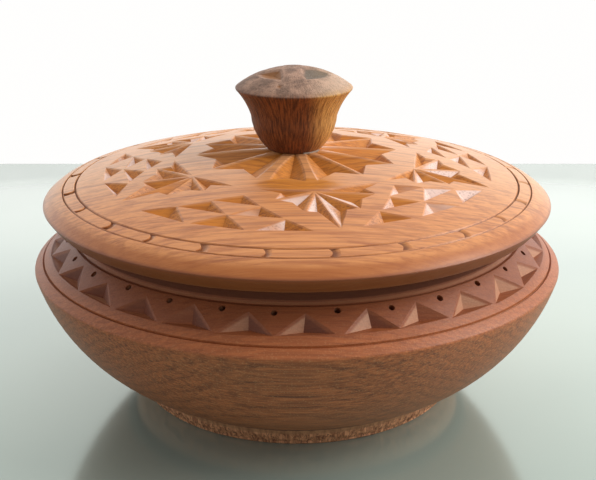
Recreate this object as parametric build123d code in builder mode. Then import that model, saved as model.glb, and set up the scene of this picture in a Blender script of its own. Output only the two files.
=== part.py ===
"""Round turned-wood bowl with a chip-carved lid, used to hold go stones.

Four pieces: the hollow bowl, a separate foot disc glued under it, the domed
lid that drops into the bowl's mouth, and the flared knob glued into the lid.
Millimetres, +Z up, origin on the table at the middle of the foot.
"""
import os
from math import atan2, cos, degrees, hypot, radians, sin, sqrt

from build123d import *

# ---------------------------------------------------------------- bowl sizes
bowl_radius = 75.0            # at the widest arris
widest_height = 38.4          # height of that arris above the table
foot_height = 6.5             # thickness of the glued foot disc
foot_radius = 46.6            # at the table
foot_top_radius = 49.0        # at the glue line
body_seat_radius = 50.5       # flat underside of the bowl, just wider than the foot
belly_out = 0.633             # how round the side is: part of the way out from seat to arris,
belly_up = 0.422              # and part of the way up, of the point its curve goes through
shoulder_width = 11.8         # horizontal run of the sloping shoulder
shoulder_rise = 9.0
neck_set_in = 0.7             # step from the shoulder to the upright neck
neck_height = 4.4             # upright neck, shoulder to rim
wall = 7.0
floor_thickness = 7.0
neck_wall = 6.2
floor_corner = 12.0           # radius inside, where the floor meets the side

# ----------------------------------------------------------------- lid sizes
lid_inset = 3.6               # the lid is this much smaller in radius than the bowl
lid_height = 16.95            # underside to the top of the dome
lid_arris_height = 4.3        # underside to the sharp outer edge
lid_undercut = 3.4            # the edge leans in by this much below the arris
dome_edge_set_in = 4.6        # where the dome starts to round over, in from the arris
dome_edge_height = 7.38       # the same point, above the underside
spigot_clearance = 0.4        # radial gap between lid spigot and bowl mouth
spigot_depth = 4.0
spigot_wall = 5.4
lid_hollow_step = 1.7         # upright inside face above the spigot's top
lid_thickness = 10.5          # at the middle, under the knob

# ---------------------------------------------------------------- knob sizes
knob_radius = 16.6
knob_height = 23.2            # from its seat on the lid to its crown
knob_base_radius = 7.4
tenon_radius = 4.0
tenon_length = 6.4
glue_gap = 0.1                # radial and end gap round every glued tenon
foot_tenon_radius = 18.0
foot_tenon_length = 3.0
foot_recess_radius = 36.0     # shallow hollow under the foot
foot_recess_depth = 1.5

# ------------------------------------------------------------- carving sizes
groove = 1.0                  # side of the square whose corner cuts each ring line
ring_spacing = 3.5            # between the two ring lines
petal_count = 12              # long chips round the knob
petal_depth = 2.5
ridge_land = 0.5              # strip of untouched wood left between two chips of a star
fan_count = 6                 # half stars between the plain band and the rim
fan_depth = 1.7
lattice_rows = 3              # triangles in rows of one, two and three
lattice_depth = 1.9
nick_count = 24               # gouge nicks between the two ring lines
nick_depth = 0.7
nick_length = 3.0             # from the stab cut to where the scoop runs out
tooth_count = 30              # triangular chips round the shoulder
tooth_depth = 1.9
tooth_gap = 0.3
hole_diameter = 1.6
hole_depth = 2.2
star_count = 4                # chips on top of the knob
star_depth = 1.2
over = 0.8                    # how far every chip cutter stands proud of the wood
turn = -80.0                  # degrees, direction of the first fan's long ray

# -------------------------------------------------------------- worked sizes
neck_foot_height = widest_height + shoulder_rise
shoulder_top_radius = bowl_radius - shoulder_width
neck_radius = shoulder_top_radius - neck_set_in
rim_height = neck_foot_height + neck_height
mouth_radius = neck_radius - neck_wall
lid_radius = bowl_radius - lid_inset
lid_top = rim_height + lid_height
dome_edge_radius = lid_radius - dome_edge_set_in
dome_drop = lid_height - dome_edge_height
outer_ring_radius = dome_edge_radius - groove
inner_ring_radius = outer_ring_radius - ring_spacing
carving_radius = 0.77 * lid_radius          # outer end of the carving
lattice_radius = 0.525 * lid_radius         # inner point of each lattice
fan_radius = 0.476 * lid_radius             # point every ray of a fan starts from
rosette_radius = 0.40 * lid_radius
sector = 360 / fan_count


def ball_radius(rim_radius, drop):
    """Radius of the ball whose cap falls by `drop` at `rim_radius`."""
    return (rim_radius**2 + drop**2) / (2 * drop)


def cap_drop(radius, ball):
    """Fall of a ball-shaped cap at a distance from its axis."""
    return ball - sqrt(ball**2 - radius**2)


dome_ball = ball_radius(dome_edge_radius, dome_drop)


def dome_height(radius):
    """Height of the lid's turned top at a distance from the axis."""
    return lid_top - cap_drop(radius, dome_ball)


def on_dome(radius, angle):
    """Point on the lid's turned top."""
    a = radians(angle)
    return Vector(radius * cos(a), radius * sin(a), dome_height(radius))


def on_shoulder(radius, angle):
    """Point on the bowl's sloping shoulder."""
    a = radians(angle)
    slope = shoulder_rise / shoulder_width
    return Vector(radius * cos(a), radius * sin(a), widest_height + (bowl_radius - radius) * slope)


def chip(corners, bottom, outward):
    """Straight-sided chip: a pyramid with its point at `bottom`, its sides through `corners`.

    The pyramid is drawn past the corners to a flat mouth standing proud of the wood.
    """
    tops = [(corner - bottom).dot(outward) for corner in corners]
    reach = max(tops) + over
    outline = [bottom + (corner - bottom) * (reach / top) for corner, top in zip(corners, tops)]
    sides = [Face(Wire.make_polygon([bottom, start, end]))
             for start, end in zip(outline, outline[1:] + outline[:1])]
    return Solid(Shell([Face(Wire.make_polygon(outline))] + sides))


def dome_chip(corners, bottom, depth):
    """Chip cut into the lid's dome; corners and bottom are (radius, angle) pairs."""
    points = [on_dome(*corner) for corner in corners]
    seat = on_dome(*bottom)
    centre = Vector(0, 0, lid_top - dome_ball)
    outward = (seat - centre).normalized()
    return chip(points, seat - outward * depth, outward)


def ray_point(length, direction):
    """End of a fan ray as (radius, angle); the fan's long ray points at direction 0."""
    out = fan_radius + length * cos(radians(direction))
    across = length * sin(radians(direction))
    return hypot(out, across), turn + degrees(atan2(across, out))


# ------------------------------------------------------------------ the bowl
belly_middle = (body_seat_radius + belly_out * (bowl_radius - body_seat_radius),
                foot_height + belly_up * (widest_height - foot_height))
belly = ThreePointArc((body_seat_radius, foot_height), belly_middle, (bowl_radius, widest_height),
                      mode=Mode.PRIVATE)
belly_centre = belly.arc_center


def inside_radius(height):
    """Radius of the hollow, one wall in from the outside curve."""
    return belly_centre.X + sqrt((belly.radius - wall)**2 - (height - belly_centre.Y)**2)


floor_height = foot_height + floor_thickness
hollow_widest_height = widest_height - 4.0
throat_height = neck_foot_height - 5.0
slope_out = Vector(shoulder_rise, 0, shoulder_width).normalized()

with BuildPart() as bowl:
    with BuildSketch(Plane.XZ):
        with BuildLine():
            Line((0, foot_height), (body_seat_radius, foot_height))
            ThreePointArc((body_seat_radius, foot_height), belly_middle, (bowl_radius, widest_height))
            Polyline((bowl_radius, widest_height), (shoulder_top_radius, neck_foot_height),
                     (neck_radius, neck_foot_height), (neck_radius, rim_height), (0, rim_height),
                     (0, foot_height))
        make_face()
    revolve(axis=Axis.Z)
    # the hollow, turned through the mouth
    with BuildSketch(Plane.XZ):
        with BuildLine():
            Line((0, floor_height), (inside_radius(floor_height), floor_height))
            ThreePointArc((inside_radius(floor_height), floor_height),
                          (inside_radius(0.6 * hollow_widest_height), 0.6 * hollow_widest_height),
                          (inside_radius(hollow_widest_height), hollow_widest_height))
            Polyline((inside_radius(hollow_widest_height), hollow_widest_height),
                     (mouth_radius, throat_height), (mouth_radius, rim_height + 1),
                     (0, rim_height + 1), (0, floor_height))
        make_face()
    revolve(axis=Axis.Z, mode=Mode.SUBTRACT)
    fillet(bowl.edges().filter_by(GeomType.CIRCLE).filter_by(
        lambda e: abs(e.center().Z - floor_height) < 0.01 and e.radius > foot_tenon_radius + 1), floor_corner)
    fillet(bowl.edges().filter_by(GeomType.CIRCLE).filter_by(
        lambda e: abs(e.center().Z - hollow_widest_height) < 0.01), 5.0)
    fillet(bowl.edges().filter_by(GeomType.CIRCLE).filter_by(
        lambda e: abs(e.center().Z - rim_height) < 0.01), 0.5)
    # scribed line near the widest arris, and one at the foot of the neck
    with BuildSketch(Plane.XZ):
        with Locations((bowl_radius - 2.5, widest_height + 2.5 * shoulder_rise / shoulder_width),
                       (shoulder_top_radius, neck_foot_height)):
            Rectangle(groove, groove, rotation=45)
    revolve(axis=Axis.Z, mode=Mode.SUBTRACT)
    # socket for the foot's tenon
    with BuildSketch(Plane.XY.offset(foot_height)):
        Circle(foot_tenon_radius + glue_gap)
    extrude(amount=foot_tenon_length + glue_gap, mode=Mode.SUBTRACT)
    # band of triangular teeth round the shoulder
    tooth_step = 360 / tooth_count
    tooth_base = shoulder_top_radius + 0.59 * shoulder_width
    tooth_tip = shoulder_top_radius + 0.16 * shoulder_width
    tooth_bottom = shoulder_top_radius + 0.45 * shoulder_width
    tooth_half = tooth_step / 2 - tooth_gap
    tooth_angle = turn - 7.8
    tooth_out = Vector(slope_out.X, 0, slope_out.Z).rotate(Axis.Z, tooth_angle)
    tooth = chip([on_shoulder(tooth_tip, tooth_angle), on_shoulder(tooth_base, tooth_angle - tooth_half),
                  on_shoulder(tooth_base, tooth_angle + tooth_half)],
                 on_shoulder(tooth_bottom, tooth_angle) - tooth_out * tooth_depth, tooth_out)
    with PolarLocations(0, tooth_count):
        add(tooth, mode=Mode.SUBTRACT)
    # a punched hole between each pair of teeth
    hole_angle = tooth_angle + tooth_step / 2
    hole_out = Vector(slope_out.X, 0, slope_out.Z).rotate(Axis.Z, hole_angle)
    hole_top = on_shoulder(shoulder_top_radius + 0.18 * shoulder_width, hole_angle)
    with BuildPart(mode=Mode.PRIVATE) as punch:
        with BuildSketch(Plane(origin=hole_top - hole_out * hole_depth, z_dir=hole_out)):
            Circle(hole_diameter / 2)
        extrude(amount=hole_depth + over)
    with PolarLocations(0, tooth_count):
        add(punch.part, mode=Mode.SUBTRACT)

# ------------------------------------------------------------------ the foot
with BuildPart() as foot:
    with BuildSketch(Plane.XZ):
        with BuildLine():
            Polyline((0, foot_recess_depth), (foot_recess_radius - foot_recess_depth, foot_recess_depth),
                     (foot_recess_radius, 0), (foot_radius, 0), (foot_radius + 1.2, 0.35 * foot_height),
                     (foot_top_radius, foot_height), (foot_tenon_radius, foot_height),
                     (foot_tenon_radius, foot_height + foot_tenon_length),
                     (0, foot_height + foot_tenon_length), close=True)
        make_face()
    revolve(axis=Axis.Z)

# ------------------------------------------------------------------- the lid
spigot_radius = mouth_radius - spigot_clearance
lid_hollow_radius = spigot_radius - spigot_wall
lid_hollow_top = lid_top - lid_thickness
lid_hollow_edge = rim_height + lid_hollow_step
hollow_ball = ball_radius(lid_hollow_radius, lid_hollow_top - lid_hollow_edge)
arris_height = rim_height + lid_arris_height
knob_seat = dome_height(knob_base_radius)

with BuildPart() as lid:
    with BuildSketch(Plane.XZ):
        with BuildLine():
            # hollow underside, spigot, flat that rests on the rim, undercut edge
            ThreePointArc((0, lid_hollow_top),
                          (lid_hollow_radius / 2,
                           lid_hollow_top - cap_drop(lid_hollow_radius / 2, hollow_ball)),
                          (lid_hollow_radius, lid_hollow_edge))
            Polyline((lid_hollow_radius, lid_hollow_edge),
                     (lid_hollow_radius, rim_height - spigot_depth),
                     (spigot_radius - 0.6, rim_height - spigot_depth),
                     (spigot_radius, rim_height - spigot_depth + 0.6),
                     (spigot_radius, rim_height), (lid_radius - lid_undercut, rim_height),
                     (lid_radius, arris_height))
            # rounded-over edge, domed top, flat seat for the knob
            ThreePointArc((lid_radius, arris_height),
                          (lid_radius - 0.42 * dome_edge_set_in,
                           arris_height + 0.62 * (dome_edge_height - lid_arris_height)),
                          (dome_edge_radius, rim_height + dome_edge_height))
            ThreePointArc((dome_edge_radius, rim_height + dome_edge_height),
                          (dome_edge_radius / 2, dome_height(dome_edge_radius / 2)),
                          (knob_base_radius, knob_seat))
            Polyline((knob_base_radius, knob_seat), (0, knob_seat), (0, lid_hollow_top))
        make_face()
    revolve(axis=Axis.Z)
    # two scribed ring lines
    with BuildSketch(Plane.XZ):
        with Locations((outer_ring_radius, dome_height(outer_ring_radius)),
                       (inner_ring_radius, dome_height(inner_ring_radius))):
            Rectangle(groove, groove, rotation=45)
    revolve(axis=Axis.Z, mode=Mode.SUBTRACT)
    # socket for the knob's tenon
    with BuildSketch(Plane.XY.offset(knob_seat)):
        Circle(tenon_radius + glue_gap)
    extrude(amount=-(tenon_length + glue_gap), mode=Mode.SUBTRACT)
    # rosette: one long chip per petal, running in under the knob
    petal_step = 360 / petal_count
    petal_half = petal_step / 2 - degrees(ridge_land / 2 / rosette_radius)
    petal = dome_chip([(tenon_radius + 1.4, turn), (rosette_radius, turn - petal_half),
                       (0.84 * rosette_radius, turn), (rosette_radius, turn + petal_half)],
                      (0.75 * rosette_radius, turn), petal_depth)
    with PolarLocations(0, petal_count, start_angle=petal_step / 2):
        add(petal, mode=Mode.SUBTRACT)
    # fans: six chips between seven rays, the middle ray the longest
    long_ray = carving_radius - fan_radius
    rays = [(0, long_ray), (31.5, 0.64 * long_ray), (73, 0.63 * long_ray), (102, 0.76 * long_ray)]
    notches = [(16.5, 0.60 * long_ray), (54, 0.53 * long_ray), (86, 0.53 * long_ray)]
    for (start, near), (end, far), (middle, notch) in zip(rays, rays[1:], notches):
        low = start + degrees(ridge_land / 2 / near)
        high = end - degrees(ridge_land / 2 / far)
        for side in (-1, 1):
            facet = dome_chip([ray_point(1.5, side * middle), ray_point(near, side * low),
                               ray_point(notch, side * middle), ray_point(far, side * high)][::side],
                              ray_point(0.8 * notch, side * middle), fan_depth)
            with PolarLocations(0, fan_count):
                add(facet, mode=Mode.SUBTRACT)
    # lattices: rows of one, two and three triangles between the fans
    row_depth = (carving_radius - lattice_radius) / lattice_rows
    pitch = 0.92 * sector / lattice_rows
    for row in range(1, lattice_rows + 1):
        base = lattice_radius + row * row_depth
        gap = degrees(ridge_land / base)
        for place in range(row):
            middle = turn + sector / 2 + pitch * (place - (row - 1) / 2)
            triangle = dome_chip([(base - row_depth + ridge_land, middle), (base, middle - pitch / 2 + gap / 2),
                                  (base, middle + pitch / 2 - gap / 2)],
                                 (base - 0.38 * row_depth, middle), lattice_depth)
            with PolarLocations(0, fan_count):
                add(triangle, mode=Mode.SUBTRACT)
    # nicks: a stab cut across the ring with a scoop rising out of it, all facing the same way
    nick_middle = (outer_ring_radius + inner_ring_radius) / 2
    nick_half = ring_spacing / 2 - 0.8 * groove
    nick_turn = degrees(nick_length / nick_middle)
    nick = dome_chip([(nick_middle - nick_half, turn), (nick_middle + nick_half, turn),
                      (nick_middle, turn + nick_turn)], (nick_middle, turn + 0.2 * nick_turn), nick_depth)
    with PolarLocations(0, nick_count, start_angle=-2.5):
        add(nick, mode=Mode.SUBTRACT)


# ------------------------------------------------------------------ the knob
knob_top = knob_seat + knob_height
crown_ball = ball_radius(knob_radius, 0.25 * knob_height)

with BuildPart() as knob:
    with BuildSketch(Plane.XZ):
        with BuildLine():
            Polyline((0, knob_seat - tenon_length), (tenon_radius, knob_seat - tenon_length),
                     (tenon_radius, knob_seat), (knob_base_radius, knob_seat))
            ThreePointArc((knob_base_radius, knob_seat),
                          (0.66 * knob_radius, knob_seat + 0.19 * knob_height),
                          (0.74 * knob_radius, knob_seat + 0.42 * knob_height))
            ThreePointArc((0.74 * knob_radius, knob_seat + 0.42 * knob_height),
                          (0.82 * knob_radius, knob_seat + 0.57 * knob_height),
                          (knob_radius, knob_seat + 0.75 * knob_height))
            ThreePointArc((knob_radius, knob_seat + 0.75 * knob_height),
                          (knob_radius / 2, knob_top - cap_drop(knob_radius / 2, crown_ball)),
                          (0, knob_top))
            Line((0, knob_top), (0, knob_seat - tenon_length))
        make_face()
    revolve(axis=Axis.Z)
    # four chips on the crown, with a cross of wood left between them
    leaf = [Vector(radius * cos(radians(angle)), radius * sin(radians(angle)),
                   knob_top - cap_drop(radius, crown_ball))
            for radius, angle in ((0.18 * knob_radius, 0), (0.63 * knob_radius, -35),
                                  (0.67 * knob_radius, 0), (0.63 * knob_radius, 35))]
    leaf_seat = Vector(0.46 * knob_radius, 0, knob_top - cap_drop(0.46 * knob_radius, crown_ball))
    leaf_out = (leaf_seat - Vector(0, 0, knob_top - crown_ball)).normalized()
    leaf_chip = chip(leaf, leaf_seat - leaf_out * star_depth, leaf_out)
    with PolarLocations(0, star_count, start_angle=-42):
        add(leaf_chip, mode=Mode.SUBTRACT)

for piece, name in ((bowl, "bowl"), (foot, "foot"), (lid, "lid"), (knob, "knob")):
    piece.part.label = name
os.makedirs("parts", exist_ok=True)
export_step(bowl.part, "parts/bowl.step")
export_step(foot.part, "parts/foot.step")
export_step(lid.part, "parts/lid.step")
export_step(knob.part, "parts/knob.step")
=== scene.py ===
# %% [markdown]
# # A turned wooden bowl with a chip-carved lid
#
# The bowl is four pieces of the same brown wood: a hollow body, a foot disc glued under it,
# a domed lid and a flared knob glued into the lid. Each is a turned shape, so each starts here as
# a profile spun round the Z axis. All but the foot are then carved with a knife, so the carving is
# done with cutters that are taken away from the turned piece. The wood is one recipe of growth
# rings, fibres and pores, laid in its own direction for each piece.
#
# The pieces' sizes are in millimetres, and the camera's, the table's and the lamps' in metres. A
# place on the lid or the shoulder is a radius and an angle, with -90 degrees at the front.

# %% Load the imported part
import math
import random

import bmesh
import bpy
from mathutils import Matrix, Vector


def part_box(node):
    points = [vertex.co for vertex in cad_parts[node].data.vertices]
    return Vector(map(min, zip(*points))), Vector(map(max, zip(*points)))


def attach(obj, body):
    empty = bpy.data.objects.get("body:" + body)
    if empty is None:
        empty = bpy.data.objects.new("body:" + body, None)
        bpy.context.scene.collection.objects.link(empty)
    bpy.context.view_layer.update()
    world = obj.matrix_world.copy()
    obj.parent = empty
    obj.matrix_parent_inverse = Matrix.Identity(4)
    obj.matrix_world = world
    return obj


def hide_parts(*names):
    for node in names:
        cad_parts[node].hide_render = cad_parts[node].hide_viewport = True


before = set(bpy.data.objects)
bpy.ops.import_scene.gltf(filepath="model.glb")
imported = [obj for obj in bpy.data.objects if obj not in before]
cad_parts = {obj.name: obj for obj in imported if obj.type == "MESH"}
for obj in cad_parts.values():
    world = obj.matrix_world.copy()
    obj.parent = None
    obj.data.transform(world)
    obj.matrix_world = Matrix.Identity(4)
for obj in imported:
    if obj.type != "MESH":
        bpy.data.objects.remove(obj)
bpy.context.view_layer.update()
mm = 0.001  # Blender's unit here is the metre, and the sizes below are written in mm
TO_MM = 1000  # turns Object coordinates into mm inside the materials

# %% [markdown]
# ## Camera
#
# The camera looks down at the bowl by about nineteen degrees with a short telephoto lens. It could
# be aimed with a constraint, but two numbers, its pitch and its distance, say the same. Colours
# are shown as they are, with no film curve.

# %% Camera
CAMERA_PITCH = math.radians(19.29)
CAMERA_DISTANCE = 0.300
LOOK_HEIGHT = 0.0408
FOCAL_LENGTH = 61.8  # mm, on a sensor 36 mm wide
SIDE_SHIFT = 0.0018

lens = bpy.data.cameras.new("front_camera")
lens.sensor_width = 36
lens.lens = FOCAL_LENGTH
lens.shift_x = SIDE_SHIFT
camera = bpy.data.objects.new("front_camera", lens)
bpy.context.scene.collection.objects.link(camera)
camera.location = (0, -CAMERA_DISTANCE * math.cos(CAMERA_PITCH),
                   LOOK_HEIGHT + CAMERA_DISTANCE * math.sin(CAMERA_PITCH))
camera.rotation_euler = (math.pi / 2 - CAMERA_PITCH, 0, 0)
bpy.context.scene.camera = camera
bpy.context.scene.view_settings.view_transform = "Standard"
print("camera at", [round(c, 3) for c in camera.location])


# %% [markdown]
# ## Putting down and picking up
#
# An operator acts on all that is selected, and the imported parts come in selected, so each step
# first puts them down. Vertices could be picked by number, but a place says what is meant and
# still holds when a size changes.

# %% Nothing selected, and picking by place
def put_all_down():
    """Deselect every object, because an operator acts on all that is selected."""
    if bpy.context.object and bpy.context.object.mode != "OBJECT":
        bpy.ops.object.mode_set(mode="OBJECT")
    bpy.ops.object.select_all(action="DESELECT")


def take_up(piece):
    """Make one piece the only selected and the active one."""
    put_all_down()
    piece.select_set(True)
    bpy.context.view_layer.objects.active = piece


def pick(piece, wanted):
    """In edit mode, select the vertices whose place passes the test, and say how many they are."""
    shape = bmesh.from_edit_mesh(piece.data)
    shape.verts.ensure_lookup_table()
    for vertex in shape.verts:
        vertex.select = wanted(vertex)
    shape.select_flush(True)
    shape.select_flush(False)
    bmesh.update_edit_mesh(piece.data)
    return sum(vertex.select for vertex in shape.verts)


def pick_all():
    """In edit mode, select the whole shape."""
    bpy.ops.mesh.select_all(action="SELECT")


def leave_edit_mode():
    """Turn all faces of a closed shape outwards, and leave edit mode."""
    pick_all()
    bpy.ops.mesh.normals_make_consistent(inside=False)
    bpy.ops.object.mode_set(mode="OBJECT")


put_all_down()
print("selected:", len(bpy.context.selected_objects))

# %% [markdown]
# ## Table
#
# The bowl stands on a pale, slightly green, polished table in front of a white wall. A bare plane
# would do for the floor, but the table's far edge shows behind the bowl, so the top is a slab
# with an eased edge.

# %% The table top
TABLE_BACK = 0.240
TABLE_SIDE = 1.6
TABLE_THICK = 0.012
TABLE_EASE = 0.002

put_all_down()
bpy.ops.mesh.primitive_cube_add(size=1, location=(0, TABLE_BACK - TABLE_SIDE / 2, -TABLE_THICK / 2))
table_top = bpy.context.object
table_top.name = "table_top"
bpy.ops.object.mode_set(mode="EDIT")
pick_all()
bpy.ops.transform.resize(value=(TABLE_SIDE, TABLE_SIDE, TABLE_THICK))
bpy.ops.mesh.bevel(offset=TABLE_EASE, segments=3)
bpy.ops.object.mode_set(mode="OBJECT")
bpy.ops.object.transform_apply(location=True, rotation=True, scale=True)
bpy.ops.object.shade_smooth_by_angle(angle=math.radians(40))
print("table top:", [round(d, 3) for d in table_top.dimensions])

# %% [markdown]
# ## Shaders as sums
#
# A node tree is easier to read as arithmetic. `Wire` wraps one output socket, and each sum with it
# lays a Math node. `Recipe` holds a material's tree, and its `node` method adds every other node:
# the type, the settings, then the sockets' values or wires.

# %% Wire and Recipe
class Wire:
    """An output socket that can be used in sums."""

    def __init__(self, recipe, socket):
        self.recipe, self.socket = recipe, socket

    def sum(self, operation, *values):
        return self.recipe.node("ShaderNodeMath", {"operation": operation}, dict(enumerate(values)))

    def __add__(self, other): return self.sum("ADD", self, other)
    def __radd__(self, other): return self.sum("ADD", other, self)
    def __sub__(self, other): return self.sum("SUBTRACT", self, other)
    def __rsub__(self, other): return self.sum("SUBTRACT", other, self)
    def __mul__(self, other): return self.sum("MULTIPLY", self, other)
    def __rmul__(self, other): return self.sum("MULTIPLY", other, self)
    def __truediv__(self, other): return self.sum("DIVIDE", self, other)
    def __pow__(self, other): return self.sum("POWER", self, other)

    def fract(self): return self.sum("FRACT", self)
    def atan2(self, other): return self.sum("ARCTAN2", self, other)

    def between(self, low, high):
        """0 below low, 1 above high, and a soft step between."""
        return self.recipe.node("ShaderNodeMapRange", {"interpolation_type": "SMOOTHSTEP"},
                                {"Value": self, "From Min": low, "From Max": high})

    def within(self, low, full, fade, high):
        """1 from full to fade, 0 below low and above high, and soft between."""
        return self.between(low, full) * (1 - self.between(fade, high))

    def axes(self):
        """The three parts of a vector, each as a wire."""
        return [self.recipe.node("ShaderNodeSeparateXYZ", {}, {0: self}, out) for out in range(3)]


class Recipe:
    """The node tree of one material, or of the world."""

    def __init__(self, owner):
        self.owner = owner
        owner.use_nodes = True
        self.tree = owner.node_tree
        self.tree.nodes.clear()

    def node(self, kind, settings=None, sockets=None, out=0):
        new = self.tree.nodes.new(kind)
        for name, value in (settings or {}).items():
            if name == "stops":
                ramp = new.color_ramp
                while len(ramp.elements) < len(value):
                    ramp.elements.new(1.0)
                for element, (place, shade) in zip(ramp.elements, value):
                    element.position = place
                    element.color = (shade, shade, shade, 1)
            else:
                setattr(new, name, value)
        for name, value in (sockets or {}).items():
            if isinstance(value, Wire):
                self.tree.links.new(value.socket, new.inputs[name])
            else:
                new.inputs[name].default_value = value
        return None if out is None else Wire(self, new.outputs[out])

    def vector(self, x, y, z):
        return self.node("ShaderNodeCombineXYZ", {}, {0: x, 1: y, 2: z})

    def noise(self, vector, scale, detail=2.0, roughness=0.5):
        return self.node("ShaderNodeTexNoise", {}, {"Vector": vector, "Scale": scale, "Detail": detail,
                                                    "Roughness": roughness})

    def ramp(self, value, *stops):
        return self.node("ShaderNodeValToRGB", {"stops": stops}, {"Fac": value})

    def mix(self, share, first, second, blend="MIX"):
        """Two colours mixed; a colour is a triple or a wire."""
        first, second = [c if isinstance(c, Wire) else (*c, 1) for c in (first, second)]
        return self.node("ShaderNodeMix", {"data_type": "RGBA", "blend_type": blend},
                         {0: share, 6: first, 7: second}, 2)

    def stained(self, base, *coats):
        """Coats of colour over the base, one after another; a coat is (share, screen colour or wire)."""
        for share, shade in coats:
            base = self.mix(share, base, shade if isinstance(shade, Wire) else srgb(*shade))
        return base

    def finish(self, piece, colour, roughness, normal=None, **fixed):
        """The surface itself. What is the same all over is set on the shader's own sockets."""
        sockets = {"Base Color": colour, "Roughness": roughness}
        if normal is not None:
            sockets["Normal"] = normal
        sockets.update({name.replace("_", " "): value for name, value in fixed.items()})
        surface = self.node("ShaderNodeBsdfPrincipled", {}, sockets)
        self.node("ShaderNodeOutputMaterial", {}, {"Surface": surface}, None)
        piece.data.materials.clear()
        piece.data.materials.append(self.owner)
        print(self.owner.name, "on", piece.name, "has", len(self.tree.nodes), "nodes")


def recipe_for(name):
    """A new material and its recipe."""
    return Recipe(bpy.data.materials.new(name))


def srgb(red, green, blue):
    """A colour given as screen values, made linear for the shader."""
    return tuple((c / 255 / 12.92) if c <= 10 else ((c / 255 + 0.055) / 1.055) ** 2.4
                 for c in (red, green, blue))


print("middle grey:", round(srgb(128, 128, 128)[0], 3))

# %% [markdown]
# ## The table's finish
#
# The table is sprayed glass or melamine: one even colour, with a soft mirror in it. A matt floor
# would lose the dark reflection under the foot, and a clear coat alone mirrors too little from
# above, so the surface has a metallic share.

# %% Table finish
enamel = recipe_for("table_enamel")
spot = enamel.node("ShaderNodeTexCoord", out="Object")
cloud = enamel.noise(spot, 9.0, 2.0)
enamel_colour = enamel.mix(cloud.between(0.35, 0.7), srgb(172, 186, 176), srgb(165, 180, 171))
enamel_roughness = 0.10 + 0.05 * enamel.noise(spot, 40.0, 3.0)
enamel.finish(table_top, enamel_colour, enamel_roughness, Metallic=0.30, Specular_IOR_Level=0.6)

# %% [markdown]
# ## Light
#
# The room has a window at the right, a white wall behind the table, and little light from the
# front. Lamps alone would leave black gaps in the gloss, so the world itself is a soft gradient,
# brightest at the back, lighter at both sides and dark below. The camera sees it as plain white.

# %% World light
world = bpy.data.worlds.new("studio_white")
bpy.context.scene.world = world
sky = Recipe(world)
side, depth, height = sky.node("ShaderNodeTexCoord", out="Generated").axes()
wall = depth.between(-0.3, 0.7) * (0.37 + 0.82 * (1 - height.between(0.20, 0.60)))
from_right = 0.26 * side.between(-0.5, 0.9)
from_left = 0.30 * (0 - side).between(0.2, 0.9)
glow = (0.31 + from_right + from_left + wall) * height.between(-0.35, 0.02)
seen = sky.node("ShaderNodeLightPath", out="Is Camera Ray")
strength = glow * (1 - seen) + 1.0 * seen
light = sky.node("ShaderNodeBackground", {}, {"Color": (1.0, 0.995, 0.985, 1), "Strength": strength})
sky.node("ShaderNodeOutputWorld", {}, {"Surface": light}, None)
print("world light has", len(sky.tree.nodes), "nodes")

# %% Soft lamps
LAMP_TARGET = Vector((0, 0, 0.05))


def soft_lamp(name, place, size, watts, colour):
    """A large area lamp turned to look at the bowl."""
    put_all_down()
    bpy.ops.object.light_add(type="AREA", location=place)
    lamp = bpy.context.object
    lamp.name = name
    lamp.data.shape = "RECTANGLE"
    lamp.data.size, lamp.data.size_y = size
    lamp.data.energy = watts
    lamp.data.color = colour
    lamp.rotation_euler = (LAMP_TARGET - Vector(place)).to_track_quat("-Z", "Y").to_euler()
    return lamp


soft_lamp("window_right", place=(0.76, -0.08, 0.56), size=(0.45, 0.6), watts=7.0, colour=(1.0, 0.97, 0.93))
wall_glow = soft_lamp("wall_glow", place=(0.1, 0.9, 0.55), size=(1.3, 0.5), watts=1.8, colour=(1.0, 1.0, 1.0))
wall_glow.visible_glossy = False

# %% [markdown]
# ## Turning
#
# A turned piece is a line from the axis, round the section and back to the axis, spun once round
# Z. The line is drawn as a single vertex extruded from point to point. Corners that the lathe tool
# and sandpaper eased are bevelled while the piece is still a line, which costs nothing.

# %% The lathe
SPIN_STEPS = 180
EASE_STEPS = 3
SAME_PLACE = 1e-5  # metres: nearer than this, a vertex is the one that is meant
DOUBLE = 1e-6  # metres: nearer than this, two vertices are one


def bend(start, through, end, pieces):
    """Points on the circle through three points, from just after start to end."""
    (ax, ay), (bx, by), (cx, cy) = start, through, end
    d = 2 * (ax * (by - cy) + bx * (cy - ay) + cx * (ay - by))
    ux = ((ax**2 + ay**2) * (by - cy) + (bx**2 + by**2) * (cy - ay) + (cx**2 + cy**2) * (ay - by)) / d
    uy = ((ax**2 + ay**2) * (cx - bx) + (bx**2 + by**2) * (ax - cx) + (cx**2 + cy**2) * (bx - ax)) / d
    radius = math.hypot(ax - ux, ay - uy)
    angles = [math.atan2(y - uy, x - ux) for x, y in (start, through, end)]
    for place in (1, 2):
        while angles[place] - angles[place - 1] > math.pi:
            angles[place] -= math.tau
        while angles[place] - angles[place - 1] < -math.pi:
            angles[place] += math.tau
    sweep = angles[2] - angles[0]
    return [(ux + radius * math.cos(angles[0] + sweep * k / pieces),
             uy + radius * math.sin(angles[0] + sweep * k / pieces)) for k in range(1, pieces + 1)]


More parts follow.
